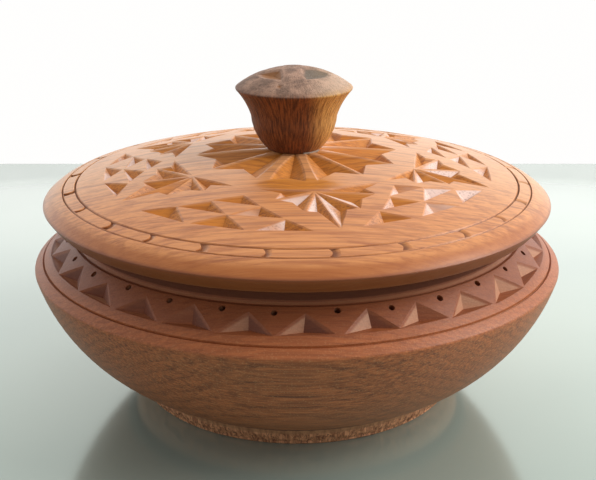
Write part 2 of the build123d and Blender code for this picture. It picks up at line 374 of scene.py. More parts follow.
def turned(name, profile, eased=()):
    """Spin a profile of (radius, height) points in mm; eased corners are (radius, height, width)."""
    put_all_down()
    bpy.ops.mesh.primitive_plane_add(size=1 * mm)
    piece = bpy.context.object
    piece.name = name
    bpy.ops.object.mode_set(mode="EDIT")
    bpy.ops.mesh.merge(type="CENTER")
    bpy.ops.transform.translate(value=(profile[0][0] * mm, 0, profile[0][1] * mm))
    for (r, z), (next_r, next_z) in zip(profile, profile[1:]):
        step = ((next_r - r) * mm, 0, (next_z - z) * mm)
        bpy.ops.mesh.extrude_region_move(TRANSFORM_OT_translate={"value": step})
    for r, z, width in eased:
        found = pick(piece, lambda v: abs(v.co.x - r * mm) < SAME_PLACE and abs(v.co.z - z * mm) < SAME_PLACE)
        if found:
            bpy.ops.mesh.bevel(offset=width * mm, segments=EASE_STEPS, affect="VERTICES")
        else:
            print("no corner to ease at", r, z)
    pick_all()
    bpy.ops.mesh.spin(steps=SPIN_STEPS, angle=math.tau, center=(0, 0, 0), axis=(0, 0, 1))
    pick_all()
    bpy.ops.mesh.remove_doubles(threshold=DOUBLE)
    leave_edit_mode()
    print(name, "turned:", len(piece.data.polygons), "faces")
    return piece


print("one step of the lathe:", 360 / SPIN_STEPS, "degrees")

# %% [markdown]
# ## Chip carving
#
# Every cut of chip carving is a pyramid of wood lifted out with two, three or four strokes of a
# knife. So every cutter is a cone with as many sides as the chip has corners, and its corners are
# moved to where the strokes begin and its point to the deepest spot. The knife slipped and
# wandered a little, and each cutter takes a small random error of its own.

# %% The knife
random.seed(7)
HAND = 0.16  # how far the carver's strokes wander, mm
PROUD = 0.9  # how far a cutter stands out of the wood, mm


def chip(corners, seat, outward, depth):
    """A pyramid, point down: its point is `depth` mm under `seat`, its mouth stands out of the wood."""
    bottom = seat - outward * depth * mm
    wander = [Vector([random.uniform(-HAND, HAND) * mm for _ in range(3)]) for _ in corners]
    corners = [corner + error for corner, error in zip(corners, wander)]
    rises = [(corner - bottom).dot(outward) for corner in corners]
    reach = max(rises) + PROUD * mm
    places = [bottom + (corner - bottom) * (reach / rise) for corner, rise in zip(corners, rises)]
    places.append(bottom)
    put_all_down()
    bpy.ops.mesh.primitive_cone_add(vertices=len(corners), radius1=mm, radius2=0, depth=mm)
    cutter = bpy.context.object
    bpy.ops.object.mode_set(mode="EDIT")
    for number, place in enumerate(places):
        pick(cutter, lambda v: v.index == number)
        bpy.ops.transform.translate(value=place - cutter.data.vertices[number].co)
    leave_edit_mode()
    return cutter


def cut(piece, cutters):
    """Take a set of cutters that don't touch each other out of the piece."""
    put_all_down()
    for cutter in cutters:
        cutter.select_set(True)
    bpy.context.view_layer.objects.active = cutters[0]
    if len(cutters) > 1:
        bpy.ops.object.join()
    joined = bpy.context.object
    take_up(piece)
    boolean = piece.modifiers.new("cut", "BOOLEAN")
    boolean.operation = "DIFFERENCE"
    boolean.solver = "MANIFOLD"
    boolean.object = joined
    bpy.ops.object.modifier_apply(modifier="cut")
    bpy.data.objects.remove(joined)


def cut_in_turns(piece, cutters, turns):
    """Every turns-th cutter at a time, so that neighbours never share one cut."""
    for first in range(turns):
        cut(piece, cutters[first::turns])


def sound(piece):
    """Print whether the mesh is closed, and its volume."""
    shape = bmesh.new()
    shape.from_mesh(piece.data)
    open_edges = sum(not edge.is_manifold for edge in shape.edges)
    print(f"{piece.name}: {len(shape.faces)} faces, {open_edges} open edges, "
          f"{shape.calc_volume() / mm**3 / 1000:.1f} ml of wood")
    shape.free()


def surfaced(piece, body, node, edge_angle=13):
    """Last steps for a finished piece: smooth shading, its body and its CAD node."""
    take_up(piece)
    bpy.ops.object.shade_smooth_by_angle(angle=math.radians(edge_angle))
    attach(piece, body)
    if node:
        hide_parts(node)


print("the knife wanders by up to", HAND, "mm")

# %% [markdown]
# ## The body
#
# A squat bowl, widest at a crisp arris, with a sloping shoulder, a short upright neck and a wide
# mouth. It could be pushed out of a cylinder, but its section is what a turner would draw, so it
# is spun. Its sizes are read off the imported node's box, and the rest of the section is drawn from
# them. The scribed line near the arris and the step at the foot of the neck are in the profile.

# %% Turn the body
bowl_low, bowl_high = [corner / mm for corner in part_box("bowl")]
foot_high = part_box("foot")[1] / mm
BOWL_R, RIM_Z = bowl_high.x, bowl_high.z
SEAT_Z, ARRIS_Z, SHOULDER_Z = bowl_low.z, 38.4, 47.4
SHOULDER_R, NECK_R, MOUTH_R = BOWL_R - 11.8, BOWL_R - 12.5, BOWL_R - 18.7
SLOPE = (SHOULDER_Z - ARRIS_Z) / (BOWL_R - SHOULDER_R)
SOCKET_R, SOCKET_TOP = 18.1, foot_high.z + 0.1  # the hole that takes the foot's tenon
SEAT = (50.5, SEAT_Z)  # outer edge of the flat that is glued to the foot
BELLY = (66, 20)  # the side's curve goes through this point
SCRIBE_R, SCRIBE_HALF, SCRIBE_DEEP = BOWL_R - 2.6, 0.26, 0.6
SHOULDER_STEPS = (70.6, 68.6, 66.4, 64.6, SHOULDER_R + 0.9)
LIP_UNDER_Z = 42.4  # the mouth is upright down to here
HOLLOW_WIDE, HOLLOW_SIDE, HOLLOW_LOW = (66.3, 34.4), (62.5, 27.0), (54.0, 17.3)
FLOOR_Z, FLOOR_R = 13.5, 41.5


def shoulder_z(r):
    return ARRIS_Z + (BOWL_R - r) * SLOPE


bowl_profile = [(0, SOCKET_TOP), (SOCKET_R, SOCKET_TOP), (SOCKET_R, SEAT_Z), SEAT]
bowl_profile += bend(SEAT, BELLY, (BOWL_R, ARRIS_Z), 16)
bowl_profile += [(SCRIBE_R + SCRIBE_HALF, shoulder_z(SCRIBE_R + SCRIBE_HALF)),
                 (SCRIBE_R - 0.3, shoulder_z(SCRIBE_R) - SCRIBE_DEEP),
                 (SCRIBE_R - SCRIBE_HALF, shoulder_z(SCRIBE_R - SCRIBE_HALF))]
bowl_profile += [(r, shoulder_z(r)) for r in SHOULDER_STEPS]
bowl_profile += [(SHOULDER_R + 0.1, SHOULDER_Z - 0.75), (NECK_R, SHOULDER_Z - 0.1), (NECK_R, RIM_Z),
                 (MOUTH_R, RIM_Z), (MOUTH_R, LIP_UNDER_Z), HOLLOW_WIDE]
bowl_profile += bend(HOLLOW_WIDE, HOLLOW_SIDE, HOLLOW_LOW, 8)
bowl_profile += bend(HOLLOW_LOW, (48.5, 14.2), (FLOOR_R, FLOOR_Z), 5)
bowl_profile += [(20, FLOOR_Z), (0, FLOOR_Z)]
bowl_eased = [(BOWL_R, ARRIS_Z, 0.6), (NECK_R, RIM_Z, 0.7), (MOUTH_R, RIM_Z, 0.7), (*HOLLOW_WIDE, 4.0),
              (*SEAT, 0.5)]
bowl = turned("turned_bowl", bowl_profile, bowl_eased)

# %% [markdown]
# Thirty three-sided chips run round the shoulder like teeth, point up, with a punched hole
# between each pair. Their base corners almost meet. Neighbours that touch would spoil a boolean,
# so every second tooth is cut first and the others after.

# %% Teeth and holes
TEETH = 30
TOOTH_TURN = -88.0
TOOTH_BASE, TOOTH_TIP, TOOTH_DEEPEST, HOLE_RING = 70.2, 65.1, 68.4, 65.3  # radii, mm
PUNCH_LENGTH = 5.0
shoulder_out = Vector((SLOPE, 0, 1)).normalized()


def turn_round(vector, angle):
    a = math.radians(angle)
    return Vector((vector.x * math.cos(a) - vector.y * math.sin(a),
                   vector.x * math.sin(a) + vector.y * math.cos(a), vector.z))


def on_shoulder(r, angle):
    return turn_round(Vector((r, 0, shoulder_z(r))), angle) * mm


teeth, punches = [], []
for number in range(TEETH):
    angle = TOOTH_TURN + number * 360 / TEETH + random.uniform(-0.5, 0.5)
    half = 180 / TEETH - 0.25
    base, tip = TOOTH_BASE + random.uniform(-0.25, 0.25), TOOTH_TIP + random.uniform(-0.4, 0.4)
    corners = [on_shoulder(tip, angle), on_shoulder(base, angle - half), on_shoulder(base, angle + half)]
    teeth.append(chip(corners, on_shoulder(TOOTH_DEEPEST, angle + random.uniform(-0.6, 0.6)),
                      turn_round(shoulder_out, angle), random.uniform(2.1, 2.6)))
    hole_angle = angle - 180 / TEETH + random.uniform(-0.6, 0.6)
    outward = turn_round(shoulder_out, hole_angle)
    put_all_down()
    hole_half = random.uniform(0.72, 0.88)
    hole = on_shoulder(HOLE_RING + random.uniform(-0.3, 0.3), hole_angle)
    bpy.ops.mesh.primitive_cylinder_add(vertices=16, radius=hole_half * mm, depth=PUNCH_LENGTH * mm,
                                        location=hole, rotation=outward.to_track_quat("Z", "Y").to_euler())
    bpy.ops.object.transform_apply(location=True, rotation=True, scale=True)
    punches.append(bpy.context.object)
cut_in_turns(bowl, teeth, 2)
cut(bowl, punches)
sound(bowl)
surfaced(bowl, "base", "bowl")

# %% [markdown]
# ## The foot
#
# A separate disc, sawn and turned but never sanded, so its lower band is rough and torn, and a
# smoother band runs above it under the glue line. The tearing is real geometry here: the band is
# cut into many small faces, and a noise displaces them.

# %% Turn the foot
FOOT_R, FOOT_TOP_R, FOOT_TOP, TENON_R = 46.6, foot_high.x, SEAT_Z, 18
UNDER_R, UNDER_Z = 34.5, 1.5  # the shallow hollow under the foot
TORN_BAND = [(0, 0.45), (0.45, 1.1), (0.9, 1.8), (1.3, 2.5), (1.6, 3.2), (1.8, 3.8), (1.75, 4.3)]
GLUE_GAP = 0.05

foot_profile = [(0, UNDER_Z), (UNDER_R, UNDER_Z), (UNDER_R + 1.5, 0), (FOOT_R - 0.5, 0)]
foot_profile += [(FOOT_R + out, z) for out, z in TORN_BAND]
foot_profile += [(FOOT_TOP_R - 0.3, 5.4), (FOOT_TOP_R - 0.3, FOOT_TOP - 0.75),
                 (FOOT_TOP_R - 1.8, FOOT_TOP - GLUE_GAP), (TENON_R, FOOT_TOP - GLUE_GAP),
                 (TENON_R, foot_high.z), (0, foot_high.z)]
foot = turned("foot_disc", foot_profile)

# %% [markdown]
# Only the lower band is torn, so it alone is cut finer, and a vertex group keeps the noise on it.

# %% Tear the lower band
TEAR_SIZE, TEAR_DEEP = 1.6, 0.9

bpy.ops.object.mode_set(mode="EDIT")
pick(foot, lambda v: 0.4 * mm < v.co.z < 4.0 * mm and v.co.xy.length > 46.5 * mm)
bpy.ops.mesh.subdivide(number_cuts=2)
bpy.ops.object.mode_set(mode="OBJECT")
torn = foot.vertex_groups.new(name="torn")
for vertex in foot.data.vertices:
    if 0.5 * mm < vertex.co.z < 3.9 * mm and vertex.co.xy.length > 46 * mm:
        torn.add([vertex.index], 1.0, "REPLACE")
grit = bpy.data.textures.new("torn_fibres", "CLOUDS")
grit.noise_scale = TEAR_SIZE * mm
grit.noise_depth = 3
rough = foot.modifiers.new("tear", "DISPLACE")
rough.texture = grit
rough.texture_coords = "LOCAL"
rough.strength = TEAR_DEEP * mm
rough.mid_level = 0.75
rough.vertex_group = "torn"
take_up(foot)
bpy.ops.object.modifier_apply(modifier="tear")
sound(foot)
surfaced(foot, "base", "foot", 40)

# %% [markdown]
# ## The lid
#
# A shallow dome with a sharp, undercut edge, a spigot that drops into the bowl's mouth and two
# scribed lines round the rim, so it is spun like the body. Its carving is a twelve-petalled rosette
# round the knob, six fans of seven rays, a lattice of six triangles between each pair of fans, and
# a ring of gouge nicks. It could be drawn as a bump, but light catches the real slopes of a chip.

# %% Turn the lid
lid_low, lid_high = [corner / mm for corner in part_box("lid")]
knob_low, knob_high = [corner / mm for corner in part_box("knob")]
LID_R, LID_TOP = lid_high.x, 68.75
EDGE_Z, UNDERSIDE_Z = RIM_Z + 4.3, RIM_Z + 0.05  # the lid's sharp edge, and where it rests
DOME_EDGE_R, DOME_EDGE_Z = LID_R - 4.6, RIM_Z + 7.38
DOME_BALL = (DOME_EDGE_R**2 + (LID_TOP - DOME_EDGE_Z)**2) / (2 * (LID_TOP - DOME_EDGE_Z))
RING_OUT, RING_IN = DOME_EDGE_R - 1.0, DOME_EDGE_R - 4.5


def dome_z(r):
    return LID_TOP - (DOME_BALL - math.sqrt(DOME_BALL**2 - r**2))


def ring_line(r, half, deep):
    return [(r + half, dome_z(r + half)), (r + 0.1, dome_z(r) - deep), (r - half, dome_z(r - half))]


KNOB_FOOT_R = 7.4
KNOB_SEAT = dome_z(KNOB_FOOT_R)
SPIGOT_R, SPIGOT_IN = MOUTH_R - 0.4, 50.5
HOLLOW_TOP, HOLLOW_MIDDLE, HOLLOW_EDGE = (0, 58.25), (25, 57.1), (SPIGOT_IN, 53.5)
HOLE_R, HOLE_FLOOR = 4.1, KNOB_SEAT - 6.5  # the hole that takes the knob's tenon
BETWEEN_RINGS = 64.0

lid_profile = [HOLLOW_TOP] + bend(HOLLOW_TOP, HOLLOW_MIDDLE, HOLLOW_EDGE, 8)
lid_profile += [(SPIGOT_IN, lid_low.z), (SPIGOT_R, lid_low.z), (SPIGOT_R, UNDERSIDE_Z),
                (LID_R - 3.4, UNDERSIDE_Z), (LID_R - 1.6, RIM_Z + 2.0), (LID_R, EDGE_Z)]
lid_profile += bend((LID_R, EDGE_Z), (LID_R - 2.1, RIM_Z + 6.0), (DOME_EDGE_R, DOME_EDGE_Z), 6)
lid_profile += ring_line(RING_OUT, 0.28, 0.6) + [(BETWEEN_RINGS, dome_z(BETWEEN_RINGS))]
lid_profile += ring_line(RING_IN, 0.36, 0.75)
lid_profile += [(r, dome_z(r)) for r in range(60, 8, -4)] + [(6.5, KNOB_SEAT)]
lid_profile += [(HOLE_R, KNOB_SEAT), (HOLE_R, HOLE_FLOOR), (0, HOLE_FLOOR)]
lid = turned("carved_lid", lid_profile, [(LID_R, EDGE_Z, 0.2), (LID_R - 3.4, UNDERSIDE_Z, 0.4),
                                         (SPIGOT_R, lid_low.z, 0.6), (SPIGOT_IN, lid_low.z, 0.5)])

# %% The dome's points
DOME_CENTRE = Vector((0, 0, (LID_TOP - DOME_BALL) * mm))


def on_dome(r, angle):
    return turn_round(Vector((r, 0, dome_z(r))), angle) * mm


def dome_chip(corners, seat, depth):
    """A chip in the lid; corners and seat are (radius, angle)."""
    place = on_dome(*seat)
    outward = (place - DOME_CENTRE).normalized()
    return chip([on_dome(*corner) for corner in corners], place, outward, depth)


print("the dome's ball has a radius of", round(DOME_BALL, 1), "mm")

# %% [markdown]
# The rosette's ridges were set out by eye, so their angles are uneven, and at the front two of them
# were left as wide lands. Each petal runs from under the knob to two tips with a notch between.

# %% Rosette
PETAL_START, PETAL_TIP, PETAL_NOTCH, FRONT_NOTCH = 5.2, 28.6, 24.2, 27.3  # radii, mm
PETAL_DEEP, RIDGE_WIDE = 2.5, 0.45
RIDGES = [-82, -53, -24, 8, 39, 71, 101, 131, 158, 184, 217, 252, 278]
LANDS = {-82: 3.2, 252: 3.0, 278: 3.2}  # width of untouched wood at the tip, mm
FRONT_RIDGE = 278
petals = []
for left, right in zip(RIDGES, RIDGES[1:]):
    low = left + math.degrees(LANDS.get(left, RIDGE_WIDE) / 2 / PETAL_TIP)
    high = right - math.degrees(LANDS.get(right, RIDGE_WIDE) / 2 / PETAL_TIP)
    middle = (low + high) / 2
    notch = FRONT_NOTCH if right == FRONT_RIDGE else PETAL_NOTCH
    petals.append(dome_chip([(PETAL_START, middle), (PETAL_TIP, low), (notch, middle), (PETAL_TIP, high)],
                            (0.88 * notch, middle), PETAL_DEEP))
cut_in_turns(lid, petals, 2)
sound(lid)

# %% [markdown]
# A fan's rays all start from one point near the rosette. Between two rays lies one chip, with a
# notch in its outer edge, and the rays grow shorter and then longer again towards the sides. One
# list of rays serves all six fans, and each fan has a start of its own, as they were set by eye.

# %% Fans
# Each fan: the angle that its long ray points at, then the radius and angle where its rays start.
FANS = [(-79, 35.4, -82.7), (-20, 34.7, -23.2), (43, 34.6, 41), (99, 34.6, 101), (155, 34.6, 153),
        (215, 34.9, 218.4)]
FAN_MIDDLE = 34.0  # radius that the rays' lengths are measured from
RAYS = [(0, 21.0), (31.5, 13.4), (73, 13.3), (102, 16.0)]  # direction, length
NOTCHES = [(16.5, 12.7), (54, 11.1), (86, 11.0)]
RAY_HALF, FAN_DEEP = 0.16, 1.7
CHIP_START, CHIP_DEEPEST = 0.06, 0.8  # shares of the way from the fan's start to the notch


def fan_point(length, direction, turn):
    """End of a stroke as (radius, angle), for a fan whose long ray points at angle turn."""
    out = FAN_MIDDLE + length * math.cos(math.radians(direction))
    across = length * math.sin(math.radians(direction))
    return math.hypot(out, across), turn + math.degrees(math.atan2(across, out))


def between_points(start, end, share):
    """A place on the way from one (radius, angle) to another."""
    (x, y), (far_x, far_y) = [(r * math.cos(math.radians(a)), r * math.sin(math.radians(a)))
                              for r, a in (start, end)]
    x, y = x + (far_x - x) * share, y + (far_y - y) * share
    return math.hypot(x, y), math.degrees(math.atan2(y, x))


fan_chips = []
for (start, near), (end, far), (middle, notch) in zip(RAYS, RAYS[1:], NOTCHES):
    low, high = start + math.degrees(RAY_HALF / near), end - math.degrees(RAY_HALF / far)
    for hand in (-1, 1):
        for turn, *fan_start in FANS:
            back = fan_point(notch, hand * middle, turn)
            corners = [between_points(fan_start, back, CHIP_START), fan_point(near, hand * low, turn),
                       back, fan_point(far, hand * high, turn)]
            fan_chips.append(dome_chip(corners, between_points(fan_start, back, CHIP_DEEPEST), FAN_DEEP))
for first in range(0, len(fan_chips), len(FANS)):
    cut(lid, fan_chips[first:first + len(FANS)])
sound(lid)

# %% [markdown]
# The lattices stand between the fans: one, two and three triangles in a row, points inward, each
# deepest near its base.

# %% Lattices
# Each lattice: the angle of its middle, then the radius of its first point.
LATTICES = [(-48.2, 37.4), (12, 38), (71, 38), (127, 38), (186, 38), (249.8, 38.6)]
LATTICE_PITCH = 17.1
ROW_STEPS = (0, 5.2, 10.8, 16.8)  # from the first point to each row's base, mm
ROW_HALVES = (9.0, 8.3, 7.9)  # half a triangle's base in each row, degrees
LATTICE_DEEP = 2.0
row_chips = {1: [], 2: [], 3: []}
for middle, first in LATTICES:
    arcs = [first + step for step in ROW_STEPS]
    for row in (1, 2, 3):
        inner, base = arcs[row - 1], arcs[row]
        half = ROW_HALVES[row - 1] - math.degrees(0.2 / base)
        for place in range(row):
            angle = middle + LATTICE_PITCH * (place - (row - 1) / 2)
            corners = [(inner + 0.2, angle), (base, angle - half), (base, angle + half)]
            deepest = (base - 2.0, angle + random.uniform(-0.6, 0.6))
            row_chips[row].append(dome_chip(corners, deepest, LATTICE_DEEP))
cut(lid, row_chips[1])
cut_in_turns(lid, row_chips[2], 2)
cut_in_turns(lid, row_chips[3], 3)
sound(lid)

# %% [markdown]
# Each nick between the scribed lines is one stab with a curved gouge, which leaves the wood behind it
# with a rounded end like a tongue, and a scoop that rises out of the stab. Its cutter is a grid whose
# near edge is bowed and whose far edge is lifted, drawn up into a wedge and copied round the ring.

# %% Gouge nicks
NICKS = [-166.6, -151.7, -137.4, -124.2, -111.2, -97.3, -83.5, -68.2, -52.2, -37.8, -23.4, -6.5,
         8, 22, 38, 53, 68, 82, 98, 113, 128, 143, 159, 176.8]
NICK_WIDE, NICK_LONG, NICK_DEEP, TONGUE = 3.1, 3.2, 0.6, 0.9  # mm
NICK_HIGH, NICK_LIFT = 1.2, 0.15
NICK_PARTS = 8

put_all_down()
bpy.ops.mesh.primitive_grid_add(x_subdivisions=NICK_PARTS, y_subdivisions=1, size=1)
nick = bpy.context.object
bpy.ops.object.mode_set(mode="EDIT")
pick_all()
bpy.ops.transform.resize(value=(NICK_WIDE * mm, NICK_LONG * mm, 1))
bpy.ops.transform.translate(value=(0, NICK_LONG / 2 * mm, -NICK_DEEP * mm))
for column in range(NICK_PARTS + 1):
    share = column / (NICK_PARTS / 2) - 1  # -1 at one side, 1 at the other
    side = share * NICK_WIDE / 2
    pick(nick, lambda v: abs(v.co.x - side * mm) < SAME_PLACE and v.co.y < SAME_PLACE)
    bpy.ops.transform.translate(value=(0, TONGUE * (1 - share ** 2) * mm, 0))
pick(nick, lambda v: v.co.y > 0.9 * NICK_LONG * mm)
bpy.ops.transform.translate(value=(0, 0, (NICK_DEEP + NICK_LIFT) * mm))
pick_all()
bpy.ops.mesh.extrude_region_move(TRANSFORM_OT_translate={"value": (0, 0, NICK_HIGH * mm)})
leave_edit_mode()
nick_r = (RING_OUT + RING_IN) / 2
nicks = []
for angle in NICKS:
    take_up(nick)
    bpy.ops.object.duplicate()
    copy = bpy.context.object
    copy.location = on_dome(nick_r, angle) + Vector((0, 0, random.uniform(-0.1, 0.15) * mm))
    copy.rotation_euler = (0, math.asin(nick_r / DOME_BALL), math.radians(angle + random.uniform(-3, 3)))
    bpy.ops.object.transform_apply(location=True, rotation=True, scale=True)
    nicks.append(copy)
bpy.data.objects.remove(nick)
cut_in_turns(lid, nicks, 2)
sound(lid)

# %% [markdown]
# In front of the rosette a thin flake of wood broke out while it was being carved, and left a
# shallow patch of fresh, golden wood. One very flat chip with eight corners gives it.

# %% Flake
FLAKE_EDGE = [(30.2, -105), (27.6, -97), (27.2, -90), (27.9, -83), (30.0, -75), (32.4, -79), (33.2, -90),
              (32.6, -99)]
FLAKE_MIDDLE, FLAKE_DEEP = (30.2, -89), 0.75
cut(lid, [dome_chip(FLAKE_EDGE, FLAKE_MIDDLE, FLAKE_DEEP)])
sound(lid)
surfaced(lid, "cover", "lid")

# %% [markdown]
# ## The knob
#
# A flared plug of darker wood with its grain upright. Its crown is weathered grey, split, and
# carved with four chips, with a cross of wood left between them. It was glued in a little off
# centre, so its tenon is thin enough to stand aside in the lid's hole.

# %% Turn the knob
KNOB_R, KNOB_TOP = knob_high.x, knob_high.z
KNOB_H = KNOB_TOP - KNOB_SEAT
KNOB_ASIDE = -0.8  # how far its axis stands beside the lid's, mm
KNOB_TENON_R = 3.1
CROWN_DROP = 0.25 * KNOB_H
CROWN_BALL = (KNOB_R**2 + CROWN_DROP**2) / (2 * CROWN_DROP)


def crown_z(r):
    return KNOB_TOP - (CROWN_BALL - math.sqrt(CROWN_BALL**2 - r**2))


waist = (0.732 * KNOB_R, KNOB_SEAT + 0.42 * KNOB_H)
rim = (KNOB_R, KNOB_SEAT + 0.75 * KNOB_H)
swell = (0.645 * KNOB_R, KNOB_SEAT + 0.19 * KNOB_H)
flare = (0.82 * KNOB_R, KNOB_SEAT + 0.57 * KNOB_H)
knob_foot = (KNOB_FOOT_R, KNOB_SEAT)
knob_profile = [(0, knob_low.z), (KNOB_TENON_R, knob_low.z), (KNOB_TENON_R, KNOB_SEAT), knob_foot]
knob_profile += bend(knob_foot, swell, waist, 6) + bend(waist, flare, rim, 8)
knob_profile += [(r, crown_z(r)) for r in (15.0, 13.0, 11.0, 9.0, 7.0, 5.0, 3.0)] + [(0, KNOB_TOP)]
knob = turned("lid_knob", knob_profile, [(*rim, 0.5)])

# %% [markdown]
# The crown's chips are leaves that lie round its middle. Two thin slivers are its cracks. The
# cutters are set out round the axis, so the knob is moved aside only when they have all been used.

# %% Leaves and cracks
CROWN_CENTRE = Vector((0, 0, (KNOB_TOP - CROWN_BALL) * mm))


def on_crown(r, angle):
    return turn_round(Vector((r, 0, crown_z(r))), angle) * mm


def crown_chip(corners, seat, depth):
    place = on_crown(*seat)
    outward = (place - CROWN_CENTRE).normalized()
    return chip([on_crown(*corner) for corner in corners], place, outward, depth)


# Each leaf: its angle, half its width in degrees, the radius of its inner end, and its depth.
LEAVES = [(-33, 42, 2.8, 1.4), (56, 32, 3.6, 1.1), (137, 32, 3.6, 1.2), (220, 31, 4.6, 1.3)]
LEAF_REACH, LEAF_DEEPEST = 10.6, 7.2  # radii, mm
leaves = [crown_chip([(inner, turn), (LEAF_REACH - 0.3, turn - half), (LEAF_REACH + 0.3, turn),
                      (LEAF_REACH - 0.3, turn + half)], (LEAF_DEEPEST, turn), deep)
          for turn, half, inner, deep in LEAVES]
cut(knob, leaves)
cracks = [crown_chip([(11.6, -112), (12.4, -104), (14.0, -105), (13.4, -113)], (12.7, -108), 0.35),
          crown_chip([(2.0, 88), (9.0, 93), (14.0, 90), (9.0, 89)], (9.0, 91), 0.9)]
cut(knob, cracks)
take_up(knob)
bpy.ops.object.mode_set(mode="EDIT")
pick_all()
bpy.ops.transform.translate(value=(KNOB_ASIDE * mm, 0, 0))
bpy.ops.object.mode_set(mode="OBJECT")
sound(knob)
surfaced(knob, "cover", "knob")

# %% [markdown]
# ## Glue
#
# A smear of dried glue shows at the front right of the knob's foot. It could be blobs pushed
# together, but glue is squeezed out as a bead, so it is a ring round the foot, cut twice so that
# only its front right part stays, and then roughened and softened.

# %% Glue smear
BEAD_HALF, BEAD_ROUGH = 0.5, 0.28  # mm
BEAD_FROM_X, BEAD_FROM_Y = 1.6, -3.0  # the bead stays to the right of and in front of these

put_all_down()
bpy.ops.mesh.primitive_torus_add(major_segments=72, minor_segments=10,
                                 major_radius=KNOB_FOOT_R * mm, minor_radius=BEAD_HALF * mm,
                                 location=(KNOB_ASIDE * mm, 0, (KNOB_SEAT + 0.05) * mm))
glue = bpy.context.object
glue.name = "knob_glue"
bpy.ops.object.transform_apply(location=True, rotation=True, scale=True)
bpy.ops.object.mode_set(mode="EDIT")
pick_all()
bpy.ops.mesh.bisect(plane_co=(BEAD_FROM_X * mm, 0, 0), plane_no=(1, 0, 0), clear_inner=True, use_fill=True)
pick_all()
bpy.ops.mesh.bisect(plane_co=(0, BEAD_FROM_Y * mm, 0), plane_no=(0, -1, 0), clear_inner=True, use_fill=True)
pick_all()
bpy.ops.transform.vertex_random(offset=BEAD_ROUGH * mm, uniform=0.3, seed=3)
leave_edit_mode()
softened = glue.modifiers.new("soften", "SUBSURF")
softened.levels = softened.render_levels = 1
bpy.ops.object.modifier_apply(modifier="soften")
sound(glue)
surfaced(glue, "cover", None, 60)

# %% [markdown]
# ## Wood
#
# All four pieces are solid wood, so one recipe works in three dimensions, on Object coordinates in
# millimetres. A board has an axis, the grain, along X. Growth rings are shells round that axis,
# fibres are a noise stretched along it, and pores are short dark dashes. A turned or carved face
# then shows whatever the cut uncovers, and rings turn into arcs on the dome just as they should.

# %% Wood recipe
class Board:
    """A piece's own board: Object coordinates in mm, with the grain along the first axis."""

    def __init__(self, recipe, lay):
        self.recipe = recipe
        spot = recipe.node("ShaderNodeTexCoord", out="Object")
        self.place = recipe.node("ShaderNodeMapping", {}, {"Vector": spot, "Scale": (TO_MM, TO_MM, TO_MM),
                                                           "Rotation": [math.radians(a) for a in lay]})
        self.along, self.across, self.up = self.place.axes()

    def drawn(self, share, scale, detail, roughness=0.5):
        """A noise drawn out along the grain: the smaller the share, the longer its marks."""
        spot = self.recipe.vector(self.along * share, self.across, self.up)
        return self.recipe.noise(spot, scale, detail, roughness)

    def late(self, pith, ring_width, sway):
        """The dark late wood of growth rings round the pith, which stands at (across, up)."""
        slow, wave = self.drawn(0.25, 0.035, 2.0), self.drawn(0.3, 0.22, 3.0)
        across = self.across - pith[0] + slow * sway - sway / 2
        reach = (across ** 2 + (self.up - pith[1] + wave * 2.4) ** 2) ** 0.5
        return self.recipe.ramp((reach / ring_width).fract(), (0.0, 0.1), (0.5, 0.1), (0.84, 0.75),
                                (0.93, 1.0), (1.0, 0.1))

    def fibres(self): return self.drawn(0.035, 0.9, 4.0, 0.65)
    def flecks(self): return self.drawn(0.12, 2.3, 3.0, 0.65)
    def pores(self): return self.drawn(0.10, 2.1, 2.0).between(0.58, 0.68)
    def clouds(self): return self.drawn(0.3, 0.06, 3.0)


def own_place(recipe):
    """A piece's Object coordinates, in metres, as three wires."""
    return recipe.node("ShaderNodeTexCoord", out="Object").axes()


def facing_right(recipe):
    """-1 where the surface faces left, 1 where it faces right."""
    return recipe.node("ShaderNodeTexCoord", out="Normal").axes()[0]


def soft_edges(recipe, relief, depth, radius):
    """Worn edges: the surface turned softly round each corner, with the relief bumped on top."""
    worn = recipe.node("ShaderNodeBevel", {"samples": 4}, {"Radius": radius * mm})
    return recipe.node("ShaderNodeBump", {}, {"Height": relief, "Strength": 1.0, "Distance": depth * mm,
                                              "Normal": worn})


print("pieces of wood:", [piece.name for piece in (bowl, foot, lid, knob)])

# %% [markdown]
# The lid is oiled and handled. It is paler towards the back, partly bleached wood and partly a painted
# sheen of the bright wall behind. Inside the chips the knife left a cleaner, more golden face. In the
# outer ones the faces that look right are pale: partly torn, dusty end grain and partly painted light
# from the window at the right. Its underside is darkened by a painted shade. How far a point lies under
# the dome is worked out from its place, so the chips take their colour without being painted.

# %% Lid wood
lid_wood = recipe_for("lid_wood")
lid_board = Board(lid_wood, (0, 0, -1))
late, fibres = lid_board.late((14, -78), 2.2, 5), lid_board.fibres()
flecks, pores = lid_board.flecks(), lid_board.pores()
x, y, z = own_place(lid_wood)
height = z * TO_MM
span = (x * x + y * y) * TO_MM**2  # the distance from the axis, squared
below = LID_TOP - span / (2 * DOME_BALL) - height
chipped = below.within(0.10, 0.50, 3.0, 3.4) * (1 - span.between(58.5**2, 60.5**2))
# The scribed rings and the nicks between them are coloured darker where they go deep.
darker_ring_grooves = below.between(0.2, 0.6) * span.within(60.5**2, 61.5**2, 66.6**2, 67.2**2)
streaks = lid_wood.noise(lid_wood.vector(x * 12, y * TO_MM, height * 0.3), 0.42, 3.0).between(0.56, 0.66)
base = lid_wood.mix(late * 0.2 + fibres.between(0.40, 0.66) * 0.55, srgb(222, 148, 88), srgb(160, 88, 48))
# Towards the back the lid is paler: partly bleached wood and partly a painted sheen of the bright wall
# behind.
bleached_and_painted_sheen = (y * TO_MM).between(-48, 2)
edge = span.between(67.5**2, 69.5**2) * (1 - bleached_and_painted_sheen)
arris = height.within(54.6, 55.4, 56.0, 56.9) * span.between(70.2**2, 71.0**2)
